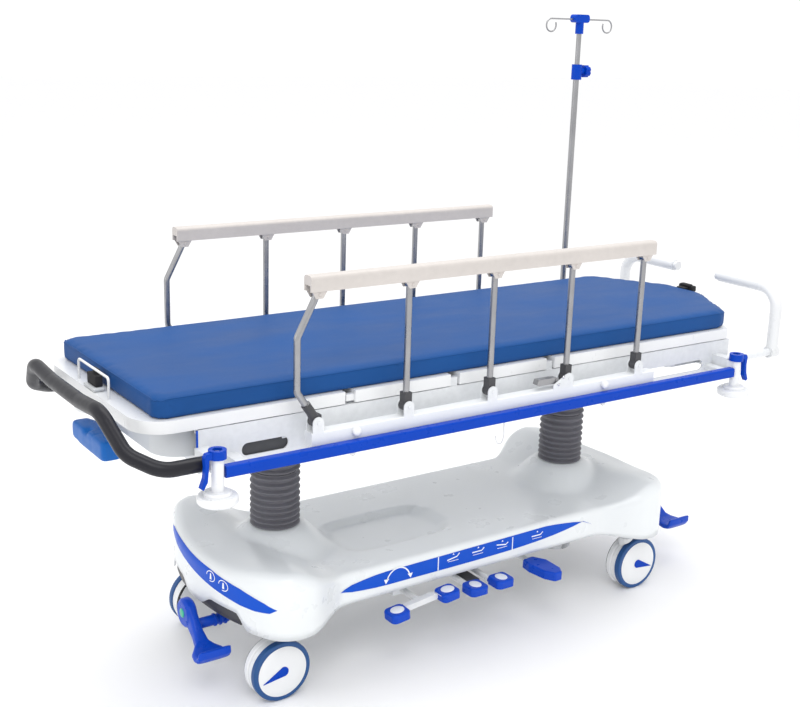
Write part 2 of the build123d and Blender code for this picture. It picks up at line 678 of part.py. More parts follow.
def rail_latch(sy):
    """Release lever beside the fourth post, with its pivot pin."""
    x, z = RAIL_POSTS[3] - 42, RAIL_PIVOT_Z - 2
    y0, y1 = sorted((sy * (RAIL_Y - 9), sy * (RAIL_Y + 9)))
    lever = prism_y([(x - 60, z - 4), (x - 54, z - 8), (x + 8, z - 8), (x + 8, z + 6), (x - 10, z + 8),
                     (x - 56, z + 8)], y0, y1)
    return lever + rod("y", 4, y0 - 2, y1 + 2, x + 4, z)


# ---------------------------------------------------------------- drip pole


def iv_pole_lower():
    """Outer tube standing in its socket, with the clamp on its top end."""
    x, y = POST_X["head"], POST_Y
    tube = turned(x, y, [(8.3, 660), (POLE_R, 660), (POLE_R, POLE_TOP), (8.3, POLE_TOP)])
    clamp = turned(x, y, [(POLE_R, CLAMP_Z[0]), (CLAMP_R, CLAMP_Z[0]), (CLAMP_R, CLAMP_Z[1]),
                          (8.3, CLAMP_Z[1]), (8.3, POLE_TOP), (POLE_R, POLE_TOP)])
    boss = rod("x", 10, x + 8, x + 26, y, KNOB_Z)
    boss -= rod("z", CLAMP_R - 0.1, CLAMP_Z[0], CLAMP_Z[1], x, y)
    boss -= rod("x", 4 + CLEARANCE, x, x + 40, y, KNOB_Z)
    return [tube, clamp + boss]


def iv_knob():
    """Six-lobed clamp screw."""
    x, y = POST_X["head"], POST_Y
    knob = rod("x", 19, x + 27, x + 45, y, KNOB_Z)
    for i in range(6):
        angle = radians(60 * i)
        knob -= rod("x", 5, x + 20, x + 50, y + 21.5 * cos(angle), KNOB_Z + 21.5 * sin(angle))
    return knob + rod("x", 4, x + CLAMP_R + 1, x + 30, y, KNOB_Z)


def iv_pole_upper():
    """Inner tube with a moulded head and two hooks."""
    x, y = POST_X["head"], POST_Y
    tube = rod("z", 8, 900, HOOK_Z - 20, x, y)
    head = rod("z", 13, HOOK_Z - 44, HOOK_Z - 8, x, y)
    cap = block(x - 30, x + 30, y - 13, y + 13, HOOK_Z - 10, HOOK_Z + 15)
    head += fillet(cap.edges().filter_by(Axis.Y), 10)
    loop_r = 19.5
    for sx in (-1, 1):
        head += rod("x", 2.5, x + sx * 25, x + sx * HOOK_REACH, y, HOOK_Z)
        centre = Plane(origin=(x + sx * HOOK_REACH, y, HOOK_Z - loop_r), x_dir=(1, 0, 0), z_dir=(0, -1, 0))
        arc = centre * CenterArc((0, 0), loop_r, 90, -295 * sx)
        head += sweep(Plane(origin=arc @ 0, z_dir=arc % 0) * Circle(2.5), path=arc)
    return [tube, head - tube]


def build():
    write("base_chassis", *base_chassis())
    write("base_shell", base_shell())
    write("column_cylinders", *column_cylinders())
    write("column_mid_tubes", *column_mid_tubes())
    for end, sx in (("foot", -1), ("head", 1)):
        write(f"column_rod_{end}", column_rod(sx))
    write("bellows", bellows(-1), bellows(1))
    for name, sx, sy in corners():
        write(f"castor_fork_{name}", castor_fork(sx, sy))
        write(f"castor_wheel_{name}", castor_wheel(sx, sy))
        write(f"clamp_lever_{name}", clamp_lever(name, sx, sy))
    write("brake_linkage", brake_linkage())
    write("rocker_pedal", rocker_pedal())
    write("lower_pedal_foot", pedal_arm(-50, -262) + pad(-42, -284, 58, 56, PAD_Z))
    write("lower_pedal_head", pedal_arm(24, -262) + pad(46, -284, 58, 56, PAD_Z))
    write("pump_pedal", pump_pedal())
    write("deck_frame", *deck_frame())
    write("corner_posts", *corner_posts())
    write("bumper_rails", bumper_rail(-1), bumper_rail(1))
    write("foot_push_bar", foot_push_bar())
    write("end_trays", end_tray(-1), end_tray(1))
    write("back_panel", back_panel())
    write("seat_panel", seat_panel())
    write("thigh_panel", thigh_panel())
    write("calf_panel", calf_panel())
    for name, section in mattress().items():
        write(f"mattress_{name}", section)
    write("foot_fittings", foot_fittings())
    write("control_block", control_block())
    for side, sy in (("near", -1), ("far", 1)):
        write(f"push_handle_{side}", push_handle() if sy < 0 else mirror(push_handle(), about=Plane.XZ))
        write(f"rail_beam_{side}", *rail_beam(sy))
        write(f"handrail_{side}", *handrail(sy))
        write(f"rail_latch_{side}", rail_latch(sy))
        for index in range(len(RAIL_POSTS)):
            write(f"rail_post_{side}_{index + 1}", *rail_post(index, sy))
    write("iv_pole_lower", *iv_pole_lower())
    write("iv_clamp_knob", iv_knob())
    write("iv_pole_upper", *iv_pole_upper())


build()
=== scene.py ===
"""Looks of the stretcher trolley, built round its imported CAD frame: metres, +X head, -Y pedals, +Z up."""
import json
import math

import bmesh
import bpy
from mathutils import Matrix, Vector, noise
from mathutils.bvhtree import BVHTree


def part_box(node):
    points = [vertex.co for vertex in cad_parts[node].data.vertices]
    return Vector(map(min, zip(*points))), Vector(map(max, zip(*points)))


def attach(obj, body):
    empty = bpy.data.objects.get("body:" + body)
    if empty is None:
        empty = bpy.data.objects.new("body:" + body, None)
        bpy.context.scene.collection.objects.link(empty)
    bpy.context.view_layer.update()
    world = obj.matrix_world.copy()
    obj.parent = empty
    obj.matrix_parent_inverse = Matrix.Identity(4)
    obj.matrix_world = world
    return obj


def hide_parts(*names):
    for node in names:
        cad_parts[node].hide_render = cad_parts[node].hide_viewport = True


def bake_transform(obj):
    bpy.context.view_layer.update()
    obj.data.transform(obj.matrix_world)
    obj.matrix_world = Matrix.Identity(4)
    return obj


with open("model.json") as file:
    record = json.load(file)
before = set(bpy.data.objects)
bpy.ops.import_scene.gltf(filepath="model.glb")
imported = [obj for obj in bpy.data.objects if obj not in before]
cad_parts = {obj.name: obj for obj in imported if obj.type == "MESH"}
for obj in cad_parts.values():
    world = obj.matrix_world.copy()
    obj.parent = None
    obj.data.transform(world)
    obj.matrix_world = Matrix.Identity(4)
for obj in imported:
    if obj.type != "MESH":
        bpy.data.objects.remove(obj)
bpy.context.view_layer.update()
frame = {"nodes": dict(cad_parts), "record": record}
nodes = frame["nodes"]
scene = bpy.context.scene

SIDES = {"near": -1, "far": 1}
ENDS = {"foot": -1, "head": 1}
CORNERS = {f"{end}_{side}": (ex, sy) for end, ex in ENDS.items() for side, sy in SIDES.items()}


# ---------------------------------------------------------------- materials

class Graph:
    """Small helper that adds shader nodes to one material."""

    def __init__(self, name):
        self.material = bpy.data.materials.new(name)
        self.material.use_nodes = True
        self.tree = self.material.node_tree
        self.shader = self.tree.nodes["Principled BSDF"]
        self.coords = self.tree.nodes.new("ShaderNodeTexCoord").outputs["Object"]

    def add(self, kind, **settings):
        node = self.tree.nodes.new(kind)
        for key, value in settings.items():
            if hasattr(node, key):
                setattr(node, key, value)
            else:
                node.inputs[key.replace("_", " ")].default_value = value
        return node

    def link(self, source, node, socket):
        self.tree.links.new(source, node.inputs[socket])

    def stretched(self, scale):
        node = self.add("ShaderNodeMapping", Scale=scale)
        self.link(self.coords, node, "Vector")
        return node.outputs["Vector"]

    def noise(self, scale, detail=3.0, vector=None, roughness=0.5):
        node = self.add("ShaderNodeTexNoise", Scale=scale, Detail=detail, Roughness=roughness)
        self.link(vector or self.coords, node, "Vector")
        return node.outputs["Fac"]

    def ranged(self, value, low, high, from_low=0.3, from_high=0.7):
        node = self.add("ShaderNodeMapRange")
        limits = {"From Min": from_low, "From Max": from_high, "To Min": low, "To Max": high}
        for socket, number in limits.items():
            node.inputs[socket].default_value = number
        self.link(value, node, "Value")
        return node.outputs["Result"]

    def mix(self, factor, low, high):
        node = self.add("ShaderNodeMix", data_type="RGBA")
        self.link(factor, node, 0)
        for socket, value in ((6, low), (7, high)):
            if isinstance(value, bpy.types.NodeSocket):
                self.link(value, node, socket)
            else:
                node.inputs[socket].default_value = (*value, 1)
        return node.outputs[2]

    def math(self, operation, a, b=None):
        node = self.add("ShaderNodeMath", operation=operation)
        self.link(a, node, 0)
        if isinstance(b, bpy.types.NodeSocket):
            self.link(b, node, 1)
        elif b is not None:
            node.inputs[1].default_value = b
        return node.outputs[0]

    def bump(self, height, strength, distance):
        node = self.add("ShaderNodeBump", Strength=strength, Distance=distance)
        self.link(height, node, "Height")
        previous = self.shader.inputs["Normal"]
        if previous.is_linked:
            self.link(previous.links[0].from_socket, node, "Normal")
        self.link(node.outputs["Normal"], self.shader, "Normal")


def shade(color, factor):
    return tuple(min(1.0, c * factor) for c in color)


def surface(name, color, rough, metallic=0.0, coat=0.0, vary=0.05, patch=9.0, grain=700.0, bump=0.06,
            stretch=(1, 1, 1), wear=0.0, specular=0.5):
    """Moulded, painted or metal finish: colour changes, uneven gloss, surface grain and worn edges."""
    g = Graph(name)
    vector = g.stretched(stretch)
    broad = g.noise(patch, 4.0)
    fine = g.noise(grain, 2.0, vector)
    tint = g.mix(g.ranged(broad, 0, 1), shade(color, 1 - vary), shade(color, 1 + vary))
    tint = g.mix(g.ranged(fine, 0, 0.25), tint, shade(color, 1 - 2 * vary))
    if wear:
        edges = g.ranged(g.add("ShaderNodeNewGeometry").outputs["Pointiness"], 0, wear, 0.52, 0.60)
        tint = g.mix(g.math("MULTIPLY", edges, g.noise(60.0)), tint, shade(color, 0.55))
    g.link(tint, g.shader, "Base Color")
    g.link(g.ranged(g.noise(patch * 5, 5.0), rough - 0.05, rough + 0.07), g.shader, "Roughness")
    if bump:
        g.bump(fine, bump, 0.0002)
    g.shader.inputs["Metallic"].default_value = metallic
    g.shader.inputs["Coat Weight"].default_value = coat
    g.shader.inputs["Coat Roughness"].default_value = 0.12
    g.shader.inputs["Specular IOR Level"].default_value = specular
    return g.material


def coated_fabric(name, color):
    """Wipe-clean cover: a fine weave under a soft polyurethane film, with shallow creases."""
    g = Graph(name)
    weave = None
    for direction in ("X", "Y"):
        wave = g.add("ShaderNodeTexWave", bands_direction=direction, Scale=380.0, Distortion=0.6)
        g.link(g.coords, wave, "Vector")
        weave = wave.outputs["Fac"] if weave is None else g.math("MULTIPLY", weave, wave.outputs["Fac"])
    creases = g.noise(5.0, 6.0, g.stretched((0.6, 1.6, 1.0)), 0.62)
    tint = g.mix(g.ranged(creases, 0, 1), shade(color, 0.90), shade(color, 1.12))
    tint = g.mix(g.ranged(weave, 0, 0.22, 0, 1), tint, shade(color, 1.5))
    g.link(tint, g.shader, "Base Color")
    g.link(g.ranged(creases, 0.44, 0.58), g.shader, "Roughness")
    g.bump(weave, 0.12, 0.0004)
    g.bump(creases, 0.30, 0.004)
    g.shader.inputs["Sheen Weight"].default_value = 0.01
    g.shader.inputs["Sheen Roughness"].default_value = 0.45
    g.shader.inputs["Specular IOR Level"].default_value = 0.13
    return g.material


def brushed(name, color, rough=0.30):
    """Satin stainless tube, brushed along its length."""
    return surface(name, color, rough, metallic=1.0, vary=0.10, patch=14.0, grain=900.0, bump=0.10,
                   stretch=(1, 1, 0.03), wear=0.0)


BLUE = (0.0003, 0.052, 0.46)
MATERIALS = {
    "painted_frame": surface("powder_coat_white", (0.78, 0.80, 0.82), 0.36, coat=0.15, vary=0.015, bump=0.08,
                             wear=0.4),
    "base_cover": surface("shell_white", (0.76, 0.785, 0.795), 0.30, coat=0.2, vary=0.004, patch=2.5,
                          grain=160.0, bump=0.0),
    "column_steel": brushed("column_steel", (0.60, 0.61, 0.63), 0.22),
    "bellows_rubber": surface("bellows_grey", (0.150, 0.148, 0.168), 0.55, vary=0.10, patch=20, grain=900,
                              bump=0.15),
    "blue_plastic": surface("blue_moulding", BLUE, 0.30, coat=0.03, vary=0.06, wear=0.2, specular=0.11),
    "white_plastic": surface("white_moulding", (0.78, 0.79, 0.80), 0.32, coat=0.2, vary=0.015, bump=0.05),
    "grey_tray": surface("grey_moulding", (0.56, 0.58, 0.60), 0.45, vary=0.03, bump=0.15),
    "bar_grip": surface("bar_black", (0.012, 0.012, 0.017), 0.36, coat=0.06, vary=0.12, grain=500, bump=0.1,
                        specular=0.25),
    "white_coated_steel": surface("white_coating", (0.74, 0.75, 0.76), 0.30, coat=0.2, vary=0.015, wear=0.25),
    "light_blue_plastic": surface("light_blue_moulding", (0.004, 0.115, 0.43), 0.38, coat=0.05, vary=0.07,
                                  specular=0.2),
    "mattress_cover": coated_fabric("mattress_blue", (0.009, 0.066, 0.232)),
    "pedal_plastic": surface("pedal_blue", (0.001, 0.058, 0.50), 0.30, coat=0.06, vary=0.08, wear=0.25,
                             specular=0.2),
    "pole_steel": brushed("tube_steel", (0.36, 0.36, 0.37)),
    "castor_plastic": surface("castor_white", (0.80, 0.81, 0.82), 0.35, coat=0.1, vary=0.03, bump=0.08),
    "castor_tyre": surface("tyre_black", (0.030, 0.030, 0.034), 0.55, vary=0.15, grain=600, bump=0.3),
    "cream_plastic": surface("handrail_cream", (0.60, 0.56, 0.53), 0.42, vary=0.03, bump=0.15, wear=0.3),
}
EXTRA = {
    "tyre_blue": surface("tyre_blue", (0.006, 0.07, 0.24), 0.45, vary=0.12, grain=600, bump=0.2),
    # Dark plastic of real parts; the same colour is painted shade on the sheets inside the cover's ends.
    "dark_plastic_and_painted_shade": surface("dark_plastic_and_painted_shade", (0.045, 0.045, 0.050), 0.45, vary=0.15, bump=0.2),
    # Near-black grey for the sheet behind each deck side slot: painted shade of the slot's shadowed inside.
    "painted_slot_shade": surface("painted_slot_shade", (0.060, 0.062, 0.066), 0.70, vary=0.15, bump=0.2),
    "webbing": surface("webbing_black", (0.012, 0.012, 0.014), 0.80, vary=0.25, grain=1400, bump=0.5),
    "decal_blue": surface("decal_blue", (0.0005, 0.075, 0.54), 0.32, coat=0.04, vary=0.03, bump=0.01,
                          specular=0.16),
    "decal_white": surface("decal_white", (0.85, 0.87, 0.90), 0.35, vary=0.03, bump=0.02),
    "green_dot": surface("green_dot", (0.01, 0.42, 0.25), 0.30, coat=0.3, vary=0.06),
    "chrome": surface("bolt_chrome", (0.70, 0.70, 0.72), 0.15, metallic=1.0, vary=0.06),
    "pad_white": surface("pad_insert_white", (0.78, 0.80, 0.85), 0.40, vary=0.04, bump=0.2),
}


def dress(name, slot, zones=()):
    """Material for a CAD node; zones give other materials to the faces whose centre passes a test."""
    mesh = nodes[name].data
    mesh.materials.clear()
    mesh.materials.append(MATERIALS[slot])
    for index, (test, material) in enumerate(zones, 1):
        mesh.materials.append(material)
        for face in mesh.polygons:
            if test(face.center):
                face.material_index = index


# ---------------------------------------------------------------- mesh helpers

def add_piece(name, mesh, body, slot, material=None, smooth=True):
    piece = bpy.data.objects.new(name, mesh)
    scene.collection.objects.link(piece)
    mesh.materials.append(material or MATERIALS[slot])
    for face in mesh.polygons:
        face.use_smooth = smooth
    if body:
        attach(piece, body)
    return piece


def mesh_from(name, points, faces):
    mesh = bpy.data.meshes.new(name)
    mesh.from_pydata([tuple(p) for p in points], [], faces)
    mesh.validate()
    mesh.update()
    return mesh


def grid_mesh(name, rows, close=False):
    """Quads between rows of equally many points."""
    width = len(rows[0])
    points = [p for row in rows for p in row]
    faces = []
    for r in range(len(rows) - 1):
        for c in range(width if close else width - 1):
            d = (c + 1) % width
            faces.append((r * width + c, r * width + d, (r + 1) * width + d, (r + 1) * width + c))
    return mesh_from(name, points, faces)


def lathe(name, profile, place, segments=96):
    """Profile of radius and height, turned round local Z and then moved by place."""
    rows = []
    for radius, height in profile:
        ring = []
        for i in range(segments):
            angle = math.tau * i / segments
            ring.append(place @ Vector((radius * math.cos(angle), radius * math.sin(angle), height)))
        rows.append(ring)
    mesh = grid_mesh(name, rows, close=True)
    tidy(mesh)
    return mesh


def tidy(mesh, weld=1e-6):
    """Welds doubles and makes the faces point outwards."""
    bm = bmesh.new()
    bm.from_mesh(mesh)
    bmesh.ops.remove_doubles(bm, verts=bm.verts, dist=weld)
    bmesh.ops.recalc_face_normals(bm, faces=bm.faces)
    bm.to_mesh(mesh)
    bm.free()


def apply_modifiers(piece):
    """Replaces the piece's mesh by what its modifiers make of it."""
    bpy.context.view_layer.update()
    graph = bpy.context.evaluated_depsgraph_get()
    mesh = bpy.data.meshes.new_from_object(piece.evaluated_get(graph))
    piece.modifiers.clear()
    piece.data = mesh


def remeshed(piece, voxel, relax_steps):
    """Fuses the piece's overlapping forms into one skin and rounds it a little."""
    remesh = piece.modifiers.new("remesh", "REMESH")
    remesh.mode = "VOXEL"
    remesh.voxel_size = voxel
    relax = piece.modifiers.new("relax", "SMOOTH")
    relax.iterations = relax_steps
    apply_modifiers(piece)
    for face in piece.data.polygons:
        face.use_smooth = True


def rounded(name, low, high, radius, body, slot, material=None):
    """Box between two corners with rounded edges."""
    low, high = Vector(low), Vector(high)
    bm = bmesh.new()
    bmesh.ops.create_cube(bm, size=1)
    for v in bm.verts:
        v.co = Vector([(low[i] + high[i]) / 2 + v.co[i] * (high[i] - low[i]) for i in range(3)])
    bmesh.ops.bevel(bm, geom=bm.edges[:], offset=radius, segments=4, profile=0.5, affect="EDGES")
    mesh = bpy.data.meshes.new(name)
    bm.to_mesh(mesh)
    bm.free()
    return add_piece(name, mesh, body, slot, material)


def tube(name, points, radius, body, slot):
    """Round bar along a smooth curve through the points."""
    curve = bpy.data.curves.new(name, "CURVE")
    curve.dimensions = "3D"
    curve.bevel_depth = radius
    curve.bevel_resolution = 5
    curve.use_fill_caps = True
    spline = curve.splines.new("BEZIER")
    spline.bezier_points.add(len(points) - 1)
    for knot, p in zip(spline.bezier_points, points):
        knot.co = p
        knot.handle_left_type = "AUTO"
        knot.handle_right_type = "AUTO"
    holder = bpy.data.objects.new(name + "_path", curve)
    scene.collection.objects.link(holder)
    bpy.context.view_layer.update()
    graph = bpy.context.evaluated_depsgraph_get()
    mesh = bpy.data.meshes.new_from_object(holder.evaluated_get(graph))
    mesh.materials.clear()
    bpy.data.objects.remove(holder)
    return add_piece(name, mesh, body, slot)


def smoothstep(value, low, high):
    t = min(1.0, max(0.0, (value - low) / (high - low)))
    return t * t * (3 - 2 * t)


# ---------------------------------------------------------------- base cover

shell_low, shell_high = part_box("base_shell")
COLUMN_X = 0.490
WAIST_Y = 0.245
POD_Y = shell_high.y
END_R = 0.602
END_X = shell_high.x
CORNER_R = 0.095
WAIST_TOP = 0.290
END_TOP = shell_high.z - 0.018
DOME_TOP = shell_high.z
SPINE = 0.400
TRAY_CENTRE = (-0.178, -0.045)
TRAY_HALF = (0.165, 0.100)
TRAY_CORNER = 0.070
TRAY_DEPTH = 0.016


def outline_quarter():
    """Plan of the cover from the middle of the near side round to the middle of the head end."""
    arc_x = END_X - END_R
    reach = END_R - CORNER_R
    centre_y = POD_Y - CORNER_R
    centre_x = arc_x + math.sqrt(reach ** 2 - centre_y ** 2)
    turn = math.atan2(centre_y, centre_x - arc_x)
    points = [(0.020 * i, -WAIST_Y) for i in range(20)]
    for i in range(30):
        x = 0.400 + (centre_x - 0.400) * i / 30
        points.append((x, -WAIST_Y - (POD_Y - WAIST_Y) * smoothstep(x, 0.420, 0.565)))
    for i in range(22):
        a = -math.pi / 2 + (math.pi / 2 - turn) * i / 22
        points.append((centre_x + CORNER_R * math.cos(a), -centre_y + CORNER_R * math.sin(a)))
    for i in range(23):
        a = -turn * (1 - i / 22)
        points.append((arc_x + END_R * math.cos(a), END_R * math.sin(a)))
    return points


def full_outline():
    """Whole plan, from the quarter and its mirror images."""
    quarter = outline_quarter()
    head = quarter + [(x, -y) for x, y in reversed(quarter[:-1])]
    return head[:-1] + [(-x, y) for x, y in reversed(head)][:-1]


def cover_height(x, y):
    """Top surface: low waist, raised ends with fuller shoulders, a dome round each column, a shallow tray."""
    ax, ay = abs(x), abs(y)
    z = WAIST_TOP + (END_TOP - WAIST_TOP) * smoothstep(ax, 0.430, 0.600)
    z += 0.012 * smoothstep(ay, 0.10, 0.24) * smoothstep(ax, 0.48, 0.60) * (1 - smoothstep(ax, 0.62, 0.72))
    z -= 0.012 * smoothstep(ax, 0.600, 0.700) * (1 - smoothstep(ay, 0.05, 0.26))
    r = math.hypot(ax - COLUMN_X, y)
    dome = DOME_TOP - 0.075 * smoothstep(r, 0.064, 0.165) - 0.2 * max(0.0, r - 0.165)
    blend = 0.014
    h = max(0.0, min(1.0, 0.5 + 0.5 * (dome - z) / blend))
    z = z * (1 - h) + dome * h + blend * h * (1 - h)
    dx = max(0.0, abs(x - TRAY_CENTRE[0]) - TRAY_HALF[0] + TRAY_CORNER)
    dy = max(0.0, abs(y - TRAY_CENTRE[1]) - TRAY_HALF[1] + TRAY_CORNER)
    edge = math.hypot(dx, dy) - TRAY_CORNER
    return z - TRAY_DEPTH * (1 - smoothstep(edge, -0.011, 0.003))


def cover_bottom(x, y):
    """Lower edge: lowest at the corners, arched under each end."""
    ax, ay = abs(x), abs(y)
    side = 0.208 - 0.020 * smoothstep(ax, 0.40, 0.60)
    end = 0.190 + 0.038 * (1 - smoothstep(ay, 0.175, 0.215)) - 0.026 * (1 - smoothstep(ay, 0.030, 0.085))
    return side + (end - side) * smoothstep(ax, 0.640, 0.690)


def edge_radius(x):
    """Rounding between the wall and the top, fuller at the ends."""
    return 0.016 + 0.015 * smoothstep(abs(x), 0.43, 0.60)


def spine_x(x):
    """Station on the cover's middle line that a point of the outline runs in to."""
    return max(-SPINE, min(SPINE, x))


def base_cover():
    """One moulded cover: wall, rounded edge and shaped top, 4 mm thick and open below."""
    wall_steps, edge_steps, top_steps = 6, 8, 34
    outline = full_outline()
    rim = []
    for x, y in outline:
        radius = edge_radius(x)
        step = (Vector((spine_x(x), 0)) - Vector((x, y))).normalized() * radius
        rim.append((x, y, step, radius, cover_height(x + step.x, y + step.y) - radius))
    rows = []
    for k in range(wall_steps + 1):
        row = []
        for x, y, step, radius, top in rim:
            low = cover_bottom(x, y)
            row.append((x, y, low + (top - low) * k / wall_steps))
        rows.append(row)
    for k in range(1, edge_steps + 1):
        angle = math.pi / 2 * k / edge_steps
        row = []
        for x, y, step, radius, top in rim:
            move = step * (1 - math.cos(angle))
            row.append((x + move.x, y + move.y, top + radius * math.sin(angle)))
        rows.append(row)
    edge = rows[-1]
    for k in range(1, top_steps + 1):
        row = []
        for point, station in zip(edge, outline):
            u = k / top_steps
            x = point[0] + (spine_x(station[0]) - point[0]) * u
            y = point[1] * (1 - u)
            row.append((x, y, cover_height(x, y)))
        rows.append(row)
    mesh = grid_mesh("base_cover", rows, close=True)
    tidy(mesh, 2e-4)
    piece = add_piece("base_cover", mesh, None, "base_cover")
    wall = piece.modifiers.new("wall", "SOLIDIFY")
    wall.thickness = 0.004
    wall.offset = -1
    apply_modifiers(piece)
    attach(piece, "base")
    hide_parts("base_shell")
    return piece


def stick_on(name, outline, proud, target, direction, slot, material, cell=0.006):
    """Label on the base: a flat outline, cut into small cells and projected to lie just proud of target."""
    bm = bmesh.new()
    bm.faces.new([bm.verts.new(p) for p in outline])
    for axis in {"x": (1, 2), "y": (0, 2)}[direction]:
        values = [v.co[axis] for v in bm.verts]
        steps = int((max(values) - min(values)) / cell) + 1
        normal = Vector([1.0 if i == axis else 0.0 for i in range(3)])
        for i in range(1, steps):
            spot = Vector((0, 0, 0))
            spot[axis] = min(values) + (max(values) - min(values)) * i / steps
            everything = bm.verts[:] + bm.edges[:] + bm.faces[:]
            bmesh.ops.bisect_plane(bm, geom=everything, plane_co=spot, plane_no=normal)
    mesh = bpy.data.meshes.new(name)
    bm.to_mesh(mesh)
    bm.free()
    piece = add_piece(name, mesh, None, slot, material)
    wrap = piece.modifiers.new("wrap", "SHRINKWRAP")
    wrap.target = target
    wrap.wrap_method = "PROJECT"
    wrap.use_project_x = direction == "x"
    wrap.use_project_y = direction == "y"
    wrap.use_positive_direction = True
    wrap.use_negative_direction = False
    wrap.offset = proud
    apply_modifiers(piece)
    tidy(piece.data)
    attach(piece, "base")


def ribbon(points, width):
    """Flat outline of a stroke of constant width through points in a plane; coordinates are pairs."""
    left, right = [], []
    for i, p in enumerate(points):
        a, b = Vector(points[max(0, i - 1)]), Vector(points[min(len(points) - 1, i + 1)])
        side = Vector((-(b - a).y, (b - a).x)).normalized() * width / 2
        left.append(Vector(p) + side)
        right.append(Vector(p) - side)
    return left + right[::-1]


def ellipse(centre, half_a, half_b, degrees):
    """Points of an ellipse at the given angles; coordinates are pairs."""
    turns = [math.radians(d) for d in degrees]
    return [(centre[0] + half_a * math.cos(t), centre[1] + half_b * math.sin(t)) for t in turns]


def side_label(cover):
    """Blue control strip on the near side, in three fields with plain pictograms."""
    y = -0.30
    x0, x1 = -0.441, 0.408
    top, bottom = [], []
    for i in range(25):
        t = i / 24
        x = x0 + (x1 - x0) * t
        blunt = min(1.0, 7 * t) ** 0.5
        top.append((x, y, 0.246 + (0.022 + 0.012 * t) * blunt * min(1.0, 5 * (1 - t)) ** 0.5))
        bottom.append((x, y, 0.246 - 0.014 * blunt * (1 - t ** 6) + 0.026 * t ** 6))
    outline = top + bottom[-2:0:-1]
    stick_on("side_label", outline, 0.0008, cover, "y", "blue_plastic", EXTRA["decal_blue"])

    def mark(name, shape):
        raised = [(p[0], y, p[1]) for p in shape]
        stick_on(name, raised, 0.0014, cover, "y", "white_plastic", EXTRA["decal_white"], 0.02)

    for index, x in enumerate((-0.139, 0.112)):
        mark(f"label_divider_{index + 1}", ribbon([(x, 0.233), (x, 0.272)], 0.003))
    arc = ellipse((-0.265, 0.236), 0.036, 0.036, range(20, 165, 8))
    mark("label_arc", ribbon(arc, 0.0035))
    for index, (x, lean) in enumerate(((-0.3015, 1), (-0.2285, -1))):
        mark(f"label_arrow_{index + 1}", [(x - 0.008, 0.248), (x + 0.008, 0.248), (x - lean * 0.002, 0.235)])
    z = 0.258
    for index, (x, tilt) in enumerate(((-0.090, 0.16), (-0.007, 0.0), (0.076, -0.16), (0.200, 0.0))):
        bed = [(x - 0.020, z - 0.020 * tilt), (x + 0.012, z + 0.012 * tilt),
               (x + 0.020, z + 0.007 + 0.020 * tilt)]
        mark(f"label_bed_{index + 1}", ribbon(bed, 0.0032))
        mark(f"label_floor_{index + 1}", ribbon([(x - 0.017, z - 0.008), (x + 0.017, z - 0.008)], 0.0014))
        mark(f"label_point_{index + 1}", [(x - 0.003, z + 0.009), (x + 0.003, z + 0.009), (x, z + 0.014)])


def end_crescent(cover):
    """Blue crescent on the foot end, with two plain round marks."""
    x = -0.80
    upper = ((0.215, 0.312), (0.181, 0.320), (0.058, 0.315), (-0.081, 0.309), (-0.191, 0.296),
             (-0.262, 0.280), (-0.288, 0.268))
    lower = ((-0.274, 0.257), (-0.235, 0.252), (-0.191, 0.253), (-0.080, 0.265), (0.060, 0.283),
             (0.125, 0.290), (0.190, 0.302))
    outline = [(x, y, z) for y, z in upper + lower]
    stick_on("end_crescent", outline, 0.0008, cover, "x", "blue_plastic", EXTRA["decal_blue"])

    def mark(name, shape):
        raised = [(x, p[0], p[1]) for p in shape]
        stick_on(name, raised, 0.0014, cover, "x", "white_plastic", EXTRA["decal_white"], 0.02)

    for index, (y, z) in enumerate(((-0.085, 0.292), (-0.135, 0.2848))):
        mark(f"end_ring_{index + 1}", ribbon(ellipse((y, z), 0.017, 0.013, range(0, 300, 15)), 0.0022))
        mark(f"end_mark_{index + 1}", [(y - 0.004, z - 0.008), (y + 0.004, z - 0.008), (y + 0.002, z + 0.008),
                                       (y - 0.002, z + 0.008)])


# ---------------------------------------------------------------- columns

BELLOWS_SPLIT = 0.504


def bellows_profile(low, high, folds, first_pitch, last_pitch):
    """Rounded folds whose pitch grows with height."""
    weights = [first_pitch + (last_pitch - first_pitch) * i / (folds - 1) for i in range(folds)]
    scale = (high - low) / sum(weights)
    profile, z = [], low
    for w in weights:
        pitch = w * scale
        for i in range(10):
            swing = math.cos(math.tau * i / 10)
            profile.append((0.0598 - 0.0052 * swing * abs(swing) ** 0.2, z + pitch * i / 10))
        z += pitch
    profile.append((0.057, high))
    return profile


def bellows():
    """Lower and upper sleeve round each column; together they stand for the CAD node."""
    bottom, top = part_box("bellows")[0].z - 0.004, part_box("bellows")[1].z
    for end, ex in ENDS.items():
        place = Matrix.Translation((ex * COLUMN_X, 0, 0))
        sleeves = {}
        for name, profile in (("lower", bellows_profile(bottom, BELLOWS_SPLIT, 9, 1.0, 1.4)),
                              ("upper", bellows_profile(BELLOWS_SPLIT, top, 5, 1.0, 1.35))):
            sleeve = lathe(name, profile, place)
            sleeves[name] = add_piece(f"bellows_{end}_{name}", sleeve, None, "bellows_rubber")
        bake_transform(sleeves["lower"])
        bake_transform(sleeves["upper"])
        if end == "foot":
            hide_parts("bellows")


# ---------------------------------------------------------------- mattress

PAD_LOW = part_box("mattress_calf")[0].z
PAD_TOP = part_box("mattress_calf")[1].z
PAD_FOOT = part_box("mattress_calf")[0].x
PAD_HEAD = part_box("mattress_back")[1].x
PAD_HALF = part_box("mattress_calf")[1].y
MID_THIGH = -0.305
MID_SEAT = 0.003


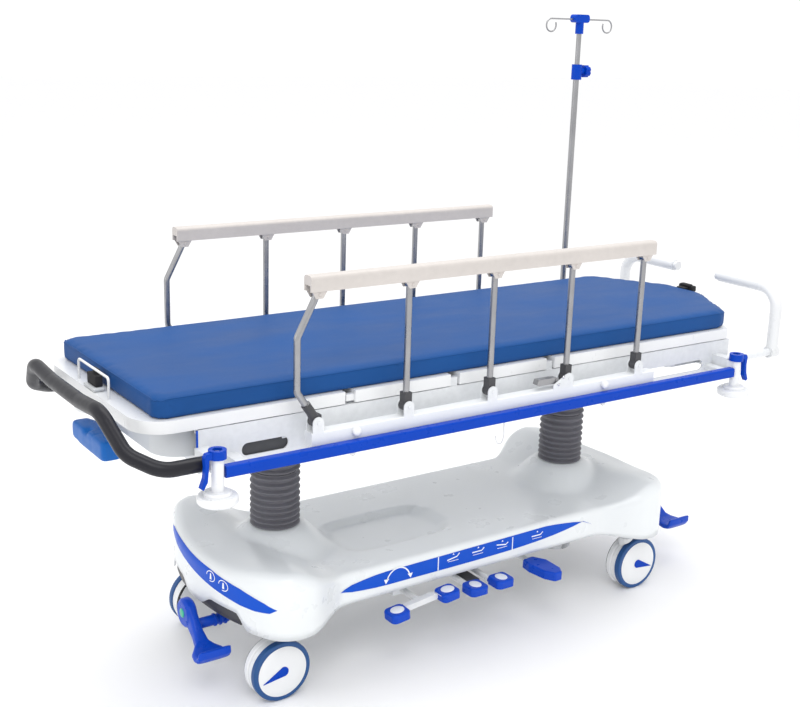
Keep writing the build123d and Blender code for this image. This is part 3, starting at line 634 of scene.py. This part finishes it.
def pad_outline(inset):
    """Plan of the mattress: rounded foot corners, tapered head with a blunt end."""
    half = PAD_HALF - inset
    corner = 0.030
    foot, head = PAD_FOOT + inset, PAD_HEAD - inset
    points = []
    for i in range(9):
        a = math.pi + math.pi / 2 * i / 8
        points.append((foot + corner + corner * math.cos(a), -half + corner + corner * math.sin(a)))
    points += [(0.820, -half), (0.850, -half + 0.012), (0.915, -half + 0.120)]
    points += [(head - 0.014, -0.090), (head, -0.055)]
    return points + [(x, -y) for x, y in reversed(points)]


def pad_solid(inset, low, high):
    """Straight-sided block on the pad's outline."""
    outline = pad_outline(inset)
    bottom = [(x, y, low) for x, y in outline]
    top = [(x, y, high) for x, y in outline]
    count = len(outline)
    faces = [tuple(range(count - 1, -1, -1)), tuple(range(count, 2 * count))]
    faces += [(i, (i + 1) % count, count + (i + 1) % count, count + i) for i in range(count)]
    return mesh_from("mattress", bottom + top, faces)


def swell(piece, frames, cap):
    """Inflates the cover a little with cloth, then limits how far any point may have moved."""
    before = [v.co.copy() for v in piece.data.vertices]
    cloth = piece.modifiers.new("cloth", "CLOTH")
    cloth.settings.use_pressure = True
    cloth.settings.uniform_pressure_force = 3.0
    cloth.settings.effector_weights.gravity = 0
    cloth.settings.tension_stiffness = 40
    cloth.settings.bending_stiffness = 8
    cloth.point_cache.frame_start = 1
    cloth.point_cache.frame_end = frames
    for number in range(1, frames + 1):
        scene.frame_set(number)
    apply_modifiers(piece)
    scene.frame_set(1)
    for vertex, start in zip(piece.data.vertices, before):
        move = vertex.co - start
        if move.length > cap:
            vertex.co = start + move * (cap / move.length)


def bend_at(piece):
    """Bakes the piece's placement into its mesh."""
    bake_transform(piece)


def mattress():
    """One pad, swollen with cloth, then cut twice into three parts."""
    inset = 0.005
    piece = add_piece("mattress", pad_solid(inset, PAD_LOW + 0.001, PAD_TOP - 0.006), None, "mattress_cover")
    remesh = piece.modifiers.new("remesh", "REMESH")
    remesh.mode = "VOXEL"
    remesh.voxel_size = 0.0075
    apply_modifiers(piece)
    swell(piece, 14, 0.005)
    for vertex in piece.data.vertices:
        co = vertex.co
        edge = min(PAD_HALF - abs(co.y), co.x - PAD_FOOT, PAD_HEAD - co.x)
        if co.z > PAD_TOP - 0.020:
            co.z += 0.0018 * noise.noise(Vector((co.x * 5, co.y * 7, 0))) * smoothstep(edge, 0.0, 0.06)
        co.z = max(PAD_LOW + 0.0005, co.z)
    relax = piece.modifiers.new("relax", "SMOOTH")
    relax.factor = 0.5
    relax.iterations = 2
    apply_modifiers(piece)
    for face in piece.data.polygons:
        face.use_smooth = True
    corners = [v.co for v in piece.data.vertices]
    skin = BVHTree.FromPolygons(corners, [f.vertices for f in piece.data.polygons])
    start = PAD_FOOT - 1
    for name, stop, foot_body, head_body, stands_for in (
            ("calf", MID_THIGH, "calf", "thigh", ["mattress_calf"]),
            ("thigh", MID_SEAT, "thigh", "deck", ["mattress_thigh"]),
            ("back", PAD_HEAD + 1, "deck", "back", ["mattress_seat", "mattress_back"])):
        part = piece if name == "back" else bpy.data.objects.new("part", piece.data.copy())
        if name != "back":
            scene.collection.objects.link(part)
        part.name = f"mattress_pad_{name}"
        bm = bmesh.new()
        bm.from_mesh(part.data)
        for plane, keep_above in ((start, True), (stop, False)):
            everything = bm.verts[:] + bm.edges[:] + bm.faces[:]
            bmesh.ops.bisect_plane(bm, geom=everything, plane_co=(plane, 0, 0), plane_no=(1, 0, 0),
                                   clear_inner=keep_above, clear_outer=not keep_above)
        bm.to_mesh(part.data)
        bm.free()
        bend_at(part)
        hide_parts(*stands_for)
        start = stop
    piping(skin)


def piping(skin):
    """Welted seam that lies on the cover's top edge, cut where the panels hinge."""
    outline = pad_outline(0.002)
    dense = []
    for (ax, ay), (bx, by) in zip(outline, outline[1:] + outline[:1]):
        steps = max(1, int(math.hypot(bx - ax, by - ay) / 0.012))
        dense += [(ax + (bx - ax) * i / steps, ay + (by - ay) * i / steps) for i in range(steps)]
    bands = (("calf", "calf", "thigh", PAD_FOOT - 1, MID_THIGH),
             ("thigh", "thigh", "deck", MID_THIGH, MID_SEAT),
             ("back", "deck", "back", MID_SEAT, PAD_HEAD + 1))
    for name, foot_body, head_body, x0, x1 in bands:
        rings = []
        for run in runs_between(dense, x0, x1):
            line = [skin.find_nearest(Vector((x, y, PAD_TOP - 0.006)))[0] for x, y in run]
            rings.append(welt(line, 0.0016))
        mesh = join_meshes(f"welt_{name}", rings)
        part = add_piece(f"mattress_welt_{name}", mesh, None, "mattress_cover")
        bend_at(part)


def runs_between(points, x0, x1):
    """Stretches of a closed outline that lie between two stations."""
    inside = [x0 <= p[0] <= x1 for p in points]
    count = len(points)
    first = next((i for i in range(count) if inside[i] and not inside[i - 1]), 0)
    runs, run = [], []
    for k in range(count + 1):
        i = (first + k) % count
        if inside[i] and k < count:
            run.append(points[i])
        elif run:
            runs.append(run)
            run = []
    return runs


def welt(line, radius):
    """Thin tube along a level stretch of seam."""
    rows = []
    for i, centre in enumerate(line):
        along = line[min(len(line) - 1, i + 1)] - line[max(0, i - 1)]
        side = Vector((along.y, -along.x, 0)).normalized()
        rows.append([centre + side * radius * math.cos(t) + Vector((0, 0, radius * math.sin(t)))
                     for t in (math.tau * k / 8 for k in range(8))])
    return grid_mesh("welt", rows, close=True)


def join_meshes(name, meshes):
    """One mesh that holds all of the given ones."""
    bm = bmesh.new()
    for mesh in meshes:
        bm.from_mesh(mesh)
    joined = bpy.data.meshes.new(name)
    bm.to_mesh(joined)
    bm.free()
    return joined


# ---------------------------------------------------------------- castors

def castor_faces():
    """White cap and blue pointer on the outside of each castor."""
    for name, (ex, sy) in CORNERS.items():
        low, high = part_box(f"castor_wheel_{name}")
        centre = (low + high) / 2
        radius = (high.x - low.x) / 2
        outer_y = high.y if sy > 0 else low.y
        turn = Matrix.Rotation(-sy * math.pi / 2, 4, "X")
        place = Matrix.Translation((centre.x, outer_y, centre.z)) @ turn
        profile = [(0, 0.0022), (radius * 0.55, 0.0020), (radius * 0.82, 0.0012), (radius * 0.86, -0.0006)]
        add_piece(f"castor_cap_{name}", lathe("cap", profile, place), f"wheel_{name}", "castor_plastic")
        tip = radius * 0.74
        blunt_end = [math.radians(95 + 170 * i / 12) for i in range(13)]
        outline = [(0.013 * math.cos(a) - 0.002, 0.013 * math.sin(a)) for a in blunt_end] + [(tip, 0.0)]
        heading = Matrix.Rotation(math.radians(-160 if ex < 0 else -18) * -sy, 4, "Z")
        points = [place @ heading @ Vector((x, y * sy, 0.0036)) for x, y in outline]
        base = [place @ heading @ Vector((x, y * sy, 0.0008)) for x, y in outline]
        count = len(outline)
        faces = [tuple(range(count))]
        faces += [(i, (i + 1) % count, count + (i + 1) % count, count + i) for i in range(count)]
        mesh = mesh_from("pointer", points + base, faces)
        tidy(mesh)
        add_piece(f"castor_pointer_{name}", mesh, f"wheel_{name}", "blue_plastic", smooth=False)


# ---------------------------------------------------------------- small parts

def barrel(name, start, end, radius, body, slot, material=None, lip=0.0):
    """Short turned piece between two points, with slightly rounded rims."""
    start, end = Vector(start), Vector(end)
    length = (end - start).length
    turn = (end - start).to_track_quat("Z", "Y").to_matrix().to_4x4()
    place = Matrix.Translation(start) @ turn
    edge = min(0.0012, radius * 0.25, length * 0.3)
    profile = [(0, 0), (radius - edge, 0), (radius, edge), (radius, length - edge), (radius - edge, length),
               (radius * 0.4, length + lip), (0, length + lip)]
    return add_piece(name, lathe(name, profile, place, 48), body, slot, material)


BRAKE_PLATE = {"foot": -0.750, "head": 0.850}
BRAKE_HEAD = Vector((0, -0.022, 0.176))


def on_shaft(x):
    """Point of the brake shaft's axis."""
    return (x, -0.060, 0.158)


def lofted(path, place_x):
    """Solid through rounded sections; path holds Y, Z, half width along X and half thickness."""
    count = 32
    rows = []
    last = len(path) - 1
    for i, (y, z, half_x, half_t) in enumerate(path):
        before, after = path[max(0, i - 1)], path[min(last, i + 1)]
        along = Vector((0, after[0] - before[0], after[1] - before[1])).normalized()
        across = Vector((0, -along.z, along.y))
        row = []
        for k in range(count):
            c, d = math.cos(math.tau * k / count), math.sin(math.tau * k / count)
            wide = half_x * math.copysign(abs(c) ** 0.5, c)
            thick = half_t * math.copysign(abs(d) ** 0.5, d)
            row.append(Vector((place_x + wide, y, z)) + across * thick)
        rows.append(row)
    for i in (0, -1):
        centre = sum(rows[i], Vector()) / count
        cap = [centre + (p - centre) * 0.02 for p in rows[i]]
        rows.insert(0 if i == 0 else len(rows), cap)
    return grid_mesh("loft", rows, close=True)


def brake_casting(end):
    """Cast foot pedal: a thick round head, an arm that curves down, and a wide tread with a raised lip."""
    plate = BRAKE_PLATE[end]
    turn = Matrix.Translation((plate, BRAKE_HEAD.y, BRAKE_HEAD.z)) @ Matrix.Rotation(math.pi / 2, 4, "Y")
    profile = [(0, -0.0145), (0.031, -0.0145), (0.038, -0.008), (0.038, 0.008), (0.031, 0.0145), (0, 0.0145)]
    head = lathe("head", profile, turn, 64)
    arm = [(-0.030, 0.186, 0.0125, 0.026), (-0.056, 0.162, 0.0125, 0.023), (-0.080, 0.142, 0.0135, 0.017),
           (-0.102, 0.127, 0.018, 0.013), (-0.118, 0.120, 0.030, 0.0115), (-0.134, 0.1185, 0.041, 0.0100),
           (-0.154, 0.118, 0.045, 0.0092), (-0.168, 0.1205, 0.045, 0.0085), (-0.176, 0.130, 0.044, 0.0065),
           (-0.178, 0.146, 0.042, 0.0050)]
    mesh = join_meshes(f"brake_casting_{end}", [head, lofted(arm, plate)])
    piece = add_piece(f"brake_casting_{end}", mesh, None, "pedal_plastic")
    remeshed(piece, 0.0022, 5)
    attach(piece, "brake")


def brake_details():
    """Brake shaft with a casting, green dot and collared sleeve at each end."""
    shaft = barrel("brake_shaft", on_shaft(-0.745), on_shaft(0.845), 0.007, "brake", "column_steel")
    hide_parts("brake_linkage")
    for end, ex in ENDS.items():
        brake_casting(end)
        plate = BRAKE_PLATE[end]
        face = plate + ex * 0.0140
        barrel(f"brake_dot_{end}", (face - ex * 0.001, -0.022, 0.178), (face + ex * 0.0022, -0.022, 0.178),
               0.012, "brake", "pedal_plastic", EXTRA["green_dot"], 0.0006)
        barrel(f"brake_sleeve_{end}", on_shaft(plate), on_shaft(plate - ex * 0.093), 0.0135, "brake",
               "pedal_plastic")
        for index in range(3):
            x = plate - ex * (0.052 + 0.014 * index)
            barrel(f"brake_rib_{end}_{index + 1}", on_shaft(x), on_shaft(x - ex * 0.006), 0.0165, "brake",
                   "pedal_plastic")


def pedal_details():
    """White oval tops on the pads, and the dark plate between the two lowering arms."""
    tread_y = -0.284
    for name, x in (("lower_foot", -0.042), ("lower_head", 0.046)):
        oval(f"pad_top_{name}", (x, tread_y), 0.186, 0.016, 0.019, 0.0, name)
    rocker_x, reach, slope = -0.213, 0.079, 0.115
    for index, side in enumerate((-1, 1)):
        z = 0.175 + 0.0112 + side * reach * slope
        centre = (rocker_x + side * reach, tread_y)
        oval(f"pad_top_rocker_{index + 1}", centre, z, 0.019, 0.017, slope, "rocker")
    rounded("pedal_shroud", (-0.036, -0.240, 0.160), (0.010, -0.112, 0.172), 0.004, "base", "pedal_plastic",
            EXTRA["dark_plastic_and_painted_shade"])


def oval(name, centre, z, half_x, half_y, slope, body):
    """Slightly domed oval insert lying on a pad."""
    rows = []
    for scale, rise in ((1.0, -0.0015), (0.97, 0.0008), (0.85, 0.0018), (0.5, 0.0026), (0.02, 0.0028)):
        rows.append([(centre[0] + half_x * scale * math.cos(a), centre[1] + half_y * scale * math.sin(a),
                      z + rise + slope * half_x * scale * math.cos(a))
                     for a in (math.tau * i / 40 for i in range(40))])
    mesh = grid_mesh(name, rows, close=True)
    tidy(mesh)
    return add_piece(name, mesh, body, "white_plastic", EXTRA["pad_white"])


def control_housing():
    """Light-blue hand-control housing of several fused blocks, hung under the foot end."""
    low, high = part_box("control_block")
    bm = bmesh.new()
    blocks = (((-0.962, 0.000, 0.660), (0.024, 0.078, 0.020)),
              ((-0.960, -0.062, 0.664), (0.026, 0.040, 0.025)),
              ((-0.962, 0.058, 0.666), (0.024, 0.044, 0.023)),
              ((-0.952, 0.000, 0.676), (0.018, 0.090, 0.013)),
              ((-0.968, -0.020, 0.668), (0.016, 0.022, 0.021)),
              ((-0.966, 0.030, 0.655), (0.018, 0.026, 0.014)))
    for centre, half in blocks:
        made = bmesh.ops.create_uvsphere(bm, u_segments=24, v_segments=16, radius=1.0)
        for v in made["verts"]:
            power = Vector([math.copysign(abs(c) ** 0.4, c) for c in v.co])
            v.co = Vector([centre[i] + half[i] * power[i] for i in range(3)])
    mesh = bpy.data.meshes.new("control_housing")
    bm.to_mesh(mesh)
    bm.free()
    for vertex in mesh.vertices:
        vertex.co = Vector([min(high[i], max(low[i], vertex.co[i])) for i in range(3)])
    piece = add_piece("control_housing", mesh, None, "light_blue_plastic")
    remeshed(piece, 0.0028, 4)
    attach(piece, "deck")
    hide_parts("control_block")


def plate_details(side, sy):
    """End strip, dark sheet of painted shade in the slot, knobs, bolts, latch rivets and bag hook of one side
    of the deck.
    """
    rounded(f"plate_end_strip_{side}", (-0.8462, sy * 0.298 - 0.0035, 0.708),
            (-0.8432, sy * 0.298 + 0.0035, 0.754), 0.0012, "deck", "blue_plastic", EXTRA["decal_blue"])
    # Dark sheet behind the slot: painted shade standing in for the shadow inside the slot.
    rounded(f"slot_shade_sheet_{side}", (-0.744, sy * 0.2905 - 0.0035, 0.671),
            (-0.614, sy * 0.2905 + 0.0035, 0.711), 0.001, "deck", "grey_tray", EXTRA["painted_slot_shade"])
    for index, x in enumerate((-0.479, 0.295)):
        barrel(f"stop_knob_{side}_{index + 1}", (x, sy * 0.3615, 0.712), (x, sy * 0.372, 0.712), 0.0105,
               "deck", "white_plastic", None, 0.002)
    for index, x in enumerate((-0.494, 0.285)):
        barrel(f"rail_bolt_{side}_{index + 1}", (x, sy * 0.375, 0.6685), (x, sy * 0.375, 0.6605), 0.0065,
               "deck", "pole_steel", EXTRA["chrome"], 0.002)
    for index, (x, z) in enumerate(((0.150, 0.752), (0.135, 0.735))):
        barrel(f"latch_rivet_{side}_{index + 1}", (x, sy * 0.3625, z), (x, sy * 0.3655, z), 0.0042,
               "deck", "pole_steel", EXTRA["chrome"], 0.0012)
    hook = [(-0.026, 0.345, 0.692), (-0.026, 0.347, 0.640), (-0.028, 0.349, 0.612), (-0.040, 0.350, 0.600),
            (-0.052, 0.349, 0.612), (-0.053, 0.348, 0.622)]
    tube(f"bag_hook_{side}", [(x, sy * y, z) for x, y, z in hook], 0.0018, "deck", "white_coated_steel")


def webbing(name, low, high, radius, body):
    """Black strap or buckle."""
    rounded(name, low, high, radius, body, "bar_grip", EXTRA["webbing"])


def deck_details():
    """Small parts along both sides, and the mattress straps and buckles."""
    for side, sy in SIDES.items():
        plate_details(side, sy)
    wire_x = (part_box("foot_fittings")[0].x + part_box("foot_fittings")[1].x) / 2
    webbing("foot_buckle", (wire_x - 0.006, -0.026, 0.796), (wire_x + 0.013, 0.026, 0.823), 0.003, "calf")
    webbing("foot_strap", (wire_x + 0.004, -0.015, 0.790), (wire_x + 0.0115, 0.015, 0.835), 0.0015, "calf")
    rounded("foot_knuckle", (-0.9745, -0.034, 0.788), (-0.9465, 0.034, 0.796), 0.003, "calf", "grey_tray")
    head = PAD_HEAD
    webbing("head_strap", (head - 0.030, -0.015, PAD_TOP - 0.003), (head + 0.001, 0.015, PAD_TOP + 0.0015),
            0.0012, "back")
    webbing("head_buckle", (head - 0.006, -0.030, PAD_TOP - 0.012), (head + 0.012, 0.030, PAD_TOP + 0.006),
            0.004, "back")
    webbing("head_buckle_clip", (head - 0.012, -0.020, PAD_TOP + 0.002),
            (head + 0.006, 0.020, PAD_TOP + 0.010), 0.003, "back")


def end_shade_sheets():
    """Dark sheet inside the arched ends of the cover: painted shade of the cover's open inside, seen under
    each end.
    """
    for end, ex in ENDS.items():
        arc_x = END_X - END_R
        rows = []
        for z in (0.196, 0.206, 0.222, 0.240):
            row = []
            for i in range(25):
                y = -0.185 + 0.37 * i / 24
                row.append((ex * (arc_x + math.sqrt((END_R - 0.010) ** 2 - y * y)), y, z))
            rows.append(row)
        mesh = grid_mesh("shade_sheet", rows)
        # Dark colour on this sheet is painted shade of the cover's inside.
        piece = add_piece(f"end_shade_sheet_{end}", mesh, None, "bellows_rubber", EXTRA["dark_plastic_and_painted_shade"])
        wall = piece.modifiers.new("wall", "SOLIDIFY")
        wall.thickness = 0.003
        apply_modifiers(piece)
        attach(piece, "base")


# ---------------------------------------------------------------- setting

def add_camera():
    """Standing viewpoint from the near foot corner, rolled by a degree or two."""
    yaw, pitch, roll = 0.606659973, 0.264957941, 0.0309942773
    forward = Vector((math.sin(yaw) * math.cos(pitch), math.cos(yaw) * math.cos(pitch), -math.sin(pitch)))
    right = Vector((math.cos(yaw), -math.sin(yaw), 0))
    up = right.cross(forward)
    across = right * math.cos(roll) + up * math.sin(roll)
    upward = up * math.cos(roll) - right * math.sin(roll)
    data = bpy.data.cameras.new("camera")
    data.lens = 54.56
    data.sensor_width = 36.0
    camera = bpy.data.objects.new("camera", data)
    scene.collection.objects.link(camera)
    basis = Matrix((across, upward, -forward)).transposed().to_4x4()
    camera.matrix_world = Matrix.Translation((-1.9017, -2.5805, 1.6131)) @ basis
    scene.camera = camera


def add_light(name, place, target, size, power, color=(1, 1, 1)):
    data = bpy.data.lights.new(name, "AREA")
    data.shape = "RECTANGLE"
    data.size, data.size_y = size
    data.energy = power
    data.color = color
    light = bpy.data.objects.new(name, data)
    scene.collection.objects.link(light)
    direction = Vector(target) - Vector(place)
    light.rotation_euler = direction.to_track_quat("-Z", "Y").to_euler()
    light.location = place


def add_studio():
    floor = mesh_from("floor", [(-30, -30, 0), (30, -30, 0), (30, 30, 0), (-30, 30, 0)], [(0, 1, 2, 3)])
    piece = bpy.data.objects.new("floor", floor)
    scene.collection.objects.link(piece)
    g = Graph("floor_white")
    g.shader.inputs["Base Color"].default_value = (0.95, 0.95, 0.955, 1)
    g.shader.inputs["Roughness"].default_value = 0.9
    floor.materials.append(g.material)
    world = bpy.data.worlds.new("studio")
    world.use_nodes = True
    world.node_tree.nodes["Background"].inputs["Color"].default_value = (1, 1, 1, 1)
    world.node_tree.nodes["Background"].inputs["Strength"].default_value = 1.05
    scene.world = world
    add_light("key", (-2.0, -3.0, 4.2), (0, 0, 0.6), (2.4, 2.4), 60)
    add_light("top", (0.5, 0.5, 4.5), (0, 0, 0.6), (3.5, 2.0), 70)
    add_light("fill", (-4.5, 0.5, 2.0), (0, 0, 0.6), (2.0, 2.0), 12)
    scene.view_settings.view_transform = "Standard"
    scene.view_settings.look = "None"


# ---------------------------------------------------------------- assembly

def dress_nodes():
    """Finishes for the CAD nodes; some nodes have a second material on part of their faces."""
    record_slots = {s["node"]: s["material_slot"] for s in frame["record"]["subparts"]}
    white_steel = MATERIALS["white_coated_steel"]
    pad_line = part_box("rocker_pedal")[0].y + 0.056
    for name in nodes:
        slot = record_slots[name]
        zones = []
        if name.startswith("castor_wheel"):
            low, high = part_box(name)
            middle = (low + high) / 2
            outside = 1 if middle.y > 0 else -1
            zones = [(lambda c, m=middle: abs(c.y - m.y) < 0.0235 or (c - m).length < 0.060,
                      MATERIALS["castor_plastic"]),
                     (lambda c, m=middle, o=outside: (c.y - m.y) * o > 0.0085, EXTRA["tyre_blue"])]
        elif name in ("lower_pedal_foot", "lower_pedal_head"):
            zones = [(lambda c: c.y > -0.255, white_steel)]
        elif name == "pump_pedal":
            zones = [(lambda c: c.y > -0.232, white_steel)]
        elif name == "rocker_pedal":
            zones = [(lambda c: c.y > pad_line or abs(c.x + 0.213) < 0.050, white_steel)]
        elif name.startswith("rail_post"):
            zones = [(lambda c: c.z < 0.7905, EXTRA["dark_plastic_and_painted_shade"])]
        elif name == "iv_pole_upper":
            zones = [(lambda c: c.z > 1.600 and abs(c.x - 0.8) < 0.031 and abs(c.y - 0.375) < 0.0140,
                      MATERIALS["blue_plastic"])]
        elif name == "iv_pole_lower":
            zones = [(lambda c: c.z > 1.459, MATERIALS["blue_plastic"])]
        dress(name, slot, zones)


dress_nodes()
cover = base_cover()
side_label(cover)
end_crescent(cover)
bellows()
mattress()
castor_faces()
brake_details()
pedal_details()
control_housing()
deck_details()
end_shade_sheets()
add_studio()
add_camera()
